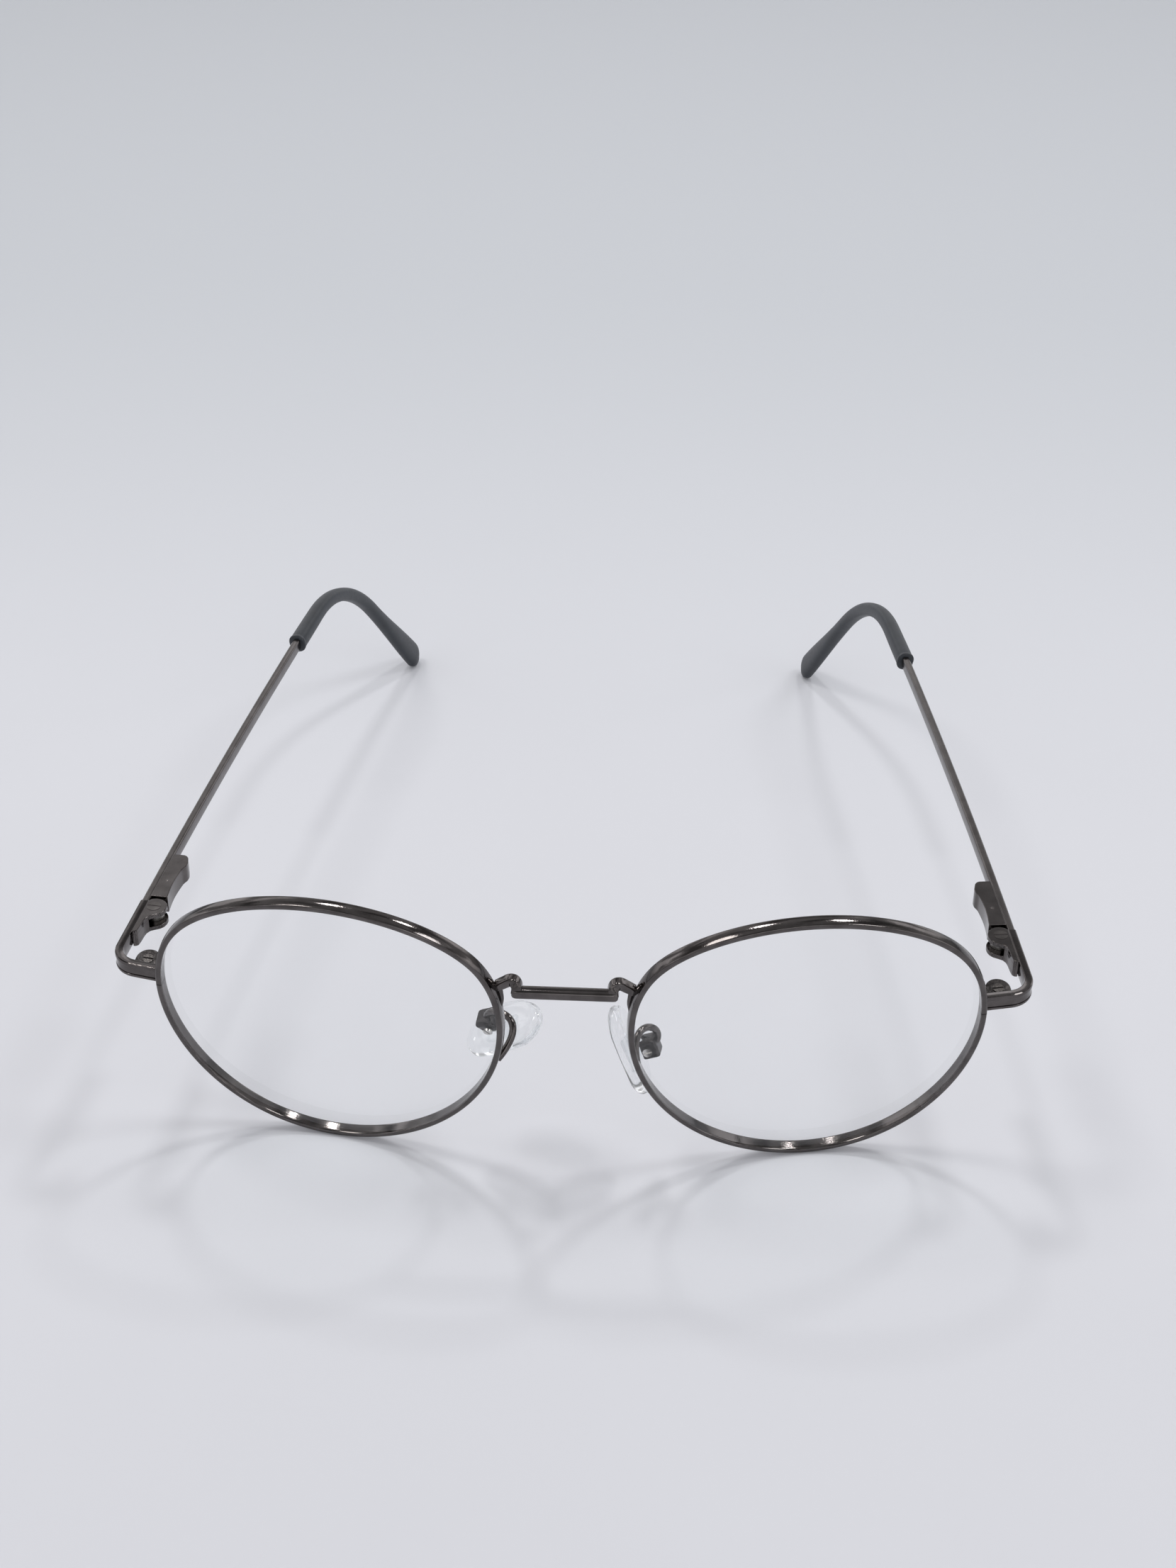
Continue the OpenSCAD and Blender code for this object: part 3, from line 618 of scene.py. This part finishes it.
def make_housing(side):
    """A waisted shell with a round end, and a hole in its front for the tongue."""
    y0, y1 = HOUSING_START, HOUSING_END
    wall_x = BAR_X - TEMPLE_T / 2
    end = [(-0.35 - math.sin(math.radians(a)), y1 - 1.4 + 1.4 * math.cos(math.radians(a)))
           for a in range(0, 61, 6)]
    ys = [11 - i * (11 - y0) / 24 for i in range(25)]
    shape = [(wall_x, y0), (wall_x - 0.03, y1)] + end + [(-housing_half_width(y), y) for y in ys]
    bm = bmesh.new()
    low, high = [[bm.verts.new(IN_HINGE @ Vector((x, y, z))) for x, y in shape]
                 for z in (-HINGE_H / 2, HINGE_H / 2)]
    bm.faces.new(low)
    bm.faces.new(list(reversed(high)))
    for j in range(len(shape) - 1):
        bm.faces.new((low[j], low[j + 1], high[j + 1], high[j]))
    w, h = 0.78, 0.67
    mouth, bottom = [[bm.verts.new(IN_HINGE @ Vector((x, y, z)))
                      for x, z in ((w, -h), (-w, -h), (-w, h), (w, h))] for y in (y0, 11.3)]
    front = [low[0], low[-1], high[-1], high[0]]
    for j, k in around(4):
        bm.faces.new((front[j], front[k], mouth[k], mouth[j]))
        bm.faces.new((mouth[j], mouth[k], bottom[k], bottom[j]))
    bm.faces.new(bottom)
    # A small staking mark on top.
    add_ball(bm, 0.27, (0.1, 6.3, HINGE_H / 2 - 0.03), 0.3, IN_HINGE)
    obj = finish_mesh("housing_shell_" + side, bm, side, 30, bevel=0.12)
    give(obj, gunmetal, "temple_arm_" + side, "frame_metal", "hinge_housing_" + side)


# ---------------------------------------------------------------- temples

BOW_R = math.degrees((TO_BEND - BUTT_Y) / BOW)
BEND_TURN = math.radians(BEND)
SLEEVE_L = SLEEVE_LEAD + BEND_TURN * BEND_R + TIP_L
AT_BEND = (IN_HINGE @ move(BAR_X - BOW_R, BUTT_Y, 0) @ rot(z=BOW) @ move(BOW_R, 0, 0)
           @ rot(y=ROLL))


def make_temple(side):
    """The flat wire, bowed in a little, from the housing into the sleeve."""
    section = rounded(TEMPLE_T, TEMPLE_H, 0.3, 4)
    start, end = BUTT_Y + 0.06, TO_BEND - SLEEVE_LEAD + 4
    rings = []
    for i in range(61):
        a = (start + (end - start) * i / 60 - BUTT_Y) / BOW_R
        rings.append([IN_HINGE @ Vector((BAR_X - BOW_R + (BOW_R + x) * math.cos(a),
                                         BUTT_Y + (BOW_R + x) * math.sin(a), z))
                      for x, z in section])
    bm = bmesh.new()
    add_loft(bm, rings)
    obj = finish_mesh("temple_wire_" + side, bm, side, 30)
    give(obj, satin, "temple_arm_" + side, "temple_metal", "temple_" + side)


def smooth(x):
    """From 0 to 1 with a soft start and end."""
    t = max(0.0, min(1.0, x))
    return t * t * (3 - 2 * t)


def lip_share(s):
    """The share of its full size that the sleeve has near its start, where it has a lip."""
    for end, share in ((0.02, 0.8), (0.1, 0.95), (0.6, 1.06), (1.3, 0.985)):
        if s < end:
            return share
    return 1.0


def along_the_bend(s):
    """The sleeve's middle at the distance s along it, and the direction that is up there."""
    u = s - SLEEVE_LEAD
    a = max(0.0, min(BEND_TURN, u / BEND_R))
    on = u if u < 0 else max(0.0, u - BEND_R * BEND_TURN)
    place = Vector((0, BEND_R * math.sin(a) + on * math.cos(a),
                    BEND_R * (math.cos(a) - 1) - on * math.sin(a)))
    return place, Vector((0, math.sin(a), math.cos(a)))


def make_tip(side):
    """A sleeve with a lip at its start, narrow in the bend and flared to a rounded end."""
    round_l, points, squareness = 2.5, 40, 0.82
    places = [0, 0.05, 0.2, 0.55, 0.75, 0.9, 1.1, 1.4, 2]
    places += [2 + (SLEEVE_L - 7) * i / 70 for i in range(1, 71)]
    places += [SLEEVE_L - 5 + 2.4 * i / 8 for i in range(1, 9)]
    places += [SLEEVE_L - round_l + 2.47 * math.sin(math.radians(90 * i / 14))
               for i in range(1, 15)]
    rings = []
    for s in places:
        middle, up = along_the_bend(s)
        into_end = max(0.0, s - SLEEVE_L + round_l) / round_l
        share = math.sqrt(max(0.004, 1 - into_end * into_end)) * lip_share(s)
        narrowing = smooth(s / 25)
        tall = (SLEEVE_D + 0.3 - 0.5 * narrowing
                + (FLARE_H - SLEEVE_D) * smooth((s - SLEEVE_L + 22) / 20))
        wide = SLEEVE_D - 0.2 * narrowing
        ring = []
        for j in range(points):
            t = 2 * math.pi * j / points
            c, n = math.cos(t), math.sin(t)
            x = wide / 2 * share * math.copysign(abs(c) ** squareness, c)
            z = tall / 2 * share * math.copysign(abs(n) ** squareness, n)
            ring.append(AT_BEND @ (middle + Vector((x, 0, 0)) + up * z))
        rings.append(ring)
    bm = bmesh.new()
    add_loft(bm, rings)
    obj = finish_mesh("tip_sleeve_" + side, bm, side, 45)
    give(obj, tip_plastic, "temple_arm_" + side, "tip", "temple_tip_" + side)


make_bridge()
for side in SIDES:
    make_rim(side)
    make_lens(side)
    make_pad(side)
    make_pad_box(side)
    make_pad_arm(side)
    make_endpiece(side)
    make_closing_blocks(side)
    make_fork(side)
    make_housing(side)
    make_temple(side)
    make_tip(side)

# ---------------------------------------------------------------- floor, light and camera

scene = bpy.context.scene


def paper_material():
    """Matt paper with painted shade: paler near the glasses and a little darker and bluer behind
    them, where less light falls.
    """
    m = Surface("pale_floor")
    y = m.add("ShaderNodeSeparateXYZ", {0: m.place}).outputs["Y"]
    shade_behind = m.add("ShaderNodeMapRange", {
        "Value": y, "From Min": -0.03, "From Max": 0.28, "To Min": 0.0, "To Max": 1.0},
        interpolation_type="SMOOTHSTEP").outputs[0]
    near = m.ramp(m.noise(9, 3), (0.3, (0.722, 0.727, 0.768)), (0.7, (0.735, 0.740, 0.782)))
    # Painted shade: the colour fades to a darker, bluer one behind the glasses, standing in for the
    # light falling off.
    colour = m.add("ShaderNodeMix", {"Factor": shade_behind, 6: near, 7: (0.592, 0.612, 0.648, 1)},
                   data_type="RGBA").outputs[2]
    m.link(colour, "Base Color")
    m.set(Roughness=0.7)
    m.bump(m.noise(900, 3), 0.05, 0.0001)
    return m.material


def make_floor():
    bm = bmesh.new()
    bmesh.ops.create_grid(bm, x_segments=4, y_segments=4, size=3)
    mesh = bpy.data.meshes.new("floor")
    bm.to_mesh(mesh)
    bm.free()
    mesh.materials.append(paper_material())
    floor = bpy.data.objects.new("floor", mesh)
    scene.collection.objects.link(floor)


def make_world():
    """A soft studio: light by height, broken into panels for the metal to mirror. Camera rays
    meet one plain pale colour instead."""
    world = bpy.data.worlds.new("studio")
    sky = Nodes(world)
    direction = sky.add("ShaderNodeTexCoord").outputs["Generated"]
    height = sky.add("ShaderNodeSeparateXYZ", {0: direction}).outputs["Z"]
    greys = ((0.18, 0.75), (0.45, 1.0), (0.58, 0.9), (0.66, 0.35))
    shade = sky.ramp(height, (0, (0.4, 0.405, 0.42)),
                     *((at, (grey, grey, grey * 1.02)) for at, grey in greys),
                     (1, (0.22, 0.22, 0.225)))
    patches = sky.add("ShaderNodeTexNoise", {"Vector": direction, "Scale": 3.4, "Detail": 1.0})
    panels = sky.ramp(patches.outputs["Fac"], (0.45, (0.3, 0.3, 0.3)), (0.55, (1.0, 1.0, 1.0)))
    light = sky.add("ShaderNodeMix", {0: 1.0, 6: shade, 7: panels},
                    data_type="RGBA", blend_type="MULTIPLY").outputs[2]
    straight = sky.add("ShaderNodeLightPath").outputs["Is Camera Ray"]
    plain = sky.add("ShaderNodeMix", {0: straight, 6: light, 7: (0.34, 0.352, 0.375, 1)},
                    data_type="RGBA").outputs[2]
    background = sky.tree.nodes["Background"]
    sky.tree.links.new(plain, background.inputs["Color"])
    background.inputs["Strength"].default_value = 1.66
    scene.world = world
    scene.view_settings.view_transform = "Standard"
    scene.view_settings.look = "None"


def add_lamp(name, place, size, power, colour=(1, 1, 1)):
    """A disk lamp that faces the middle of the scene."""
    data = bpy.data.lights.new(name, "AREA")
    data.shape = "DISK"
    data.size = size
    data.energy = power
    data.color = colour
    obj = bpy.data.objects.new(name, data)
    obj.location = place
    obj.rotation_mode = "QUATERNION"
    obj.rotation_quaternion = (-Vector(place)).to_track_quat("-Z", "Y")
    scene.collection.objects.link(obj)


def make_camera():
    camera = bpy.data.cameras.new("camera")
    camera.sensor_width = SENSOR_WIDTH
    camera.lens = FOCAL_LENGTH
    camera.clip_start = 0.01
    camera.clip_end = 20
    eye = bpy.data.objects.new("camera", camera)
    axes = Matrix((EYE_RIGHT, EYE_UP, -Vector(EYE_AHEAD))).transposed().to_4x4()
    eye.matrix_world = move(*EYE) @ axes
    scene.collection.objects.link(eye)
    scene.camera = eye


make_floor()
make_world()
add_lamp("left", (-0.42, 0.05, 0.85), 0.24, 1.3, (1, 0.99, 0.97))
add_lamp("left_far", (-0.16, 0.42, 0.88), 0.12, 1.2)
add_lamp("right_far", (0.31, 0.36, 0.86), 0.12, 1.15)
add_lamp("right", (0.5, 0.0, 0.8), 0.24, 1.05, (0.98, 0.99, 1))
make_camera()
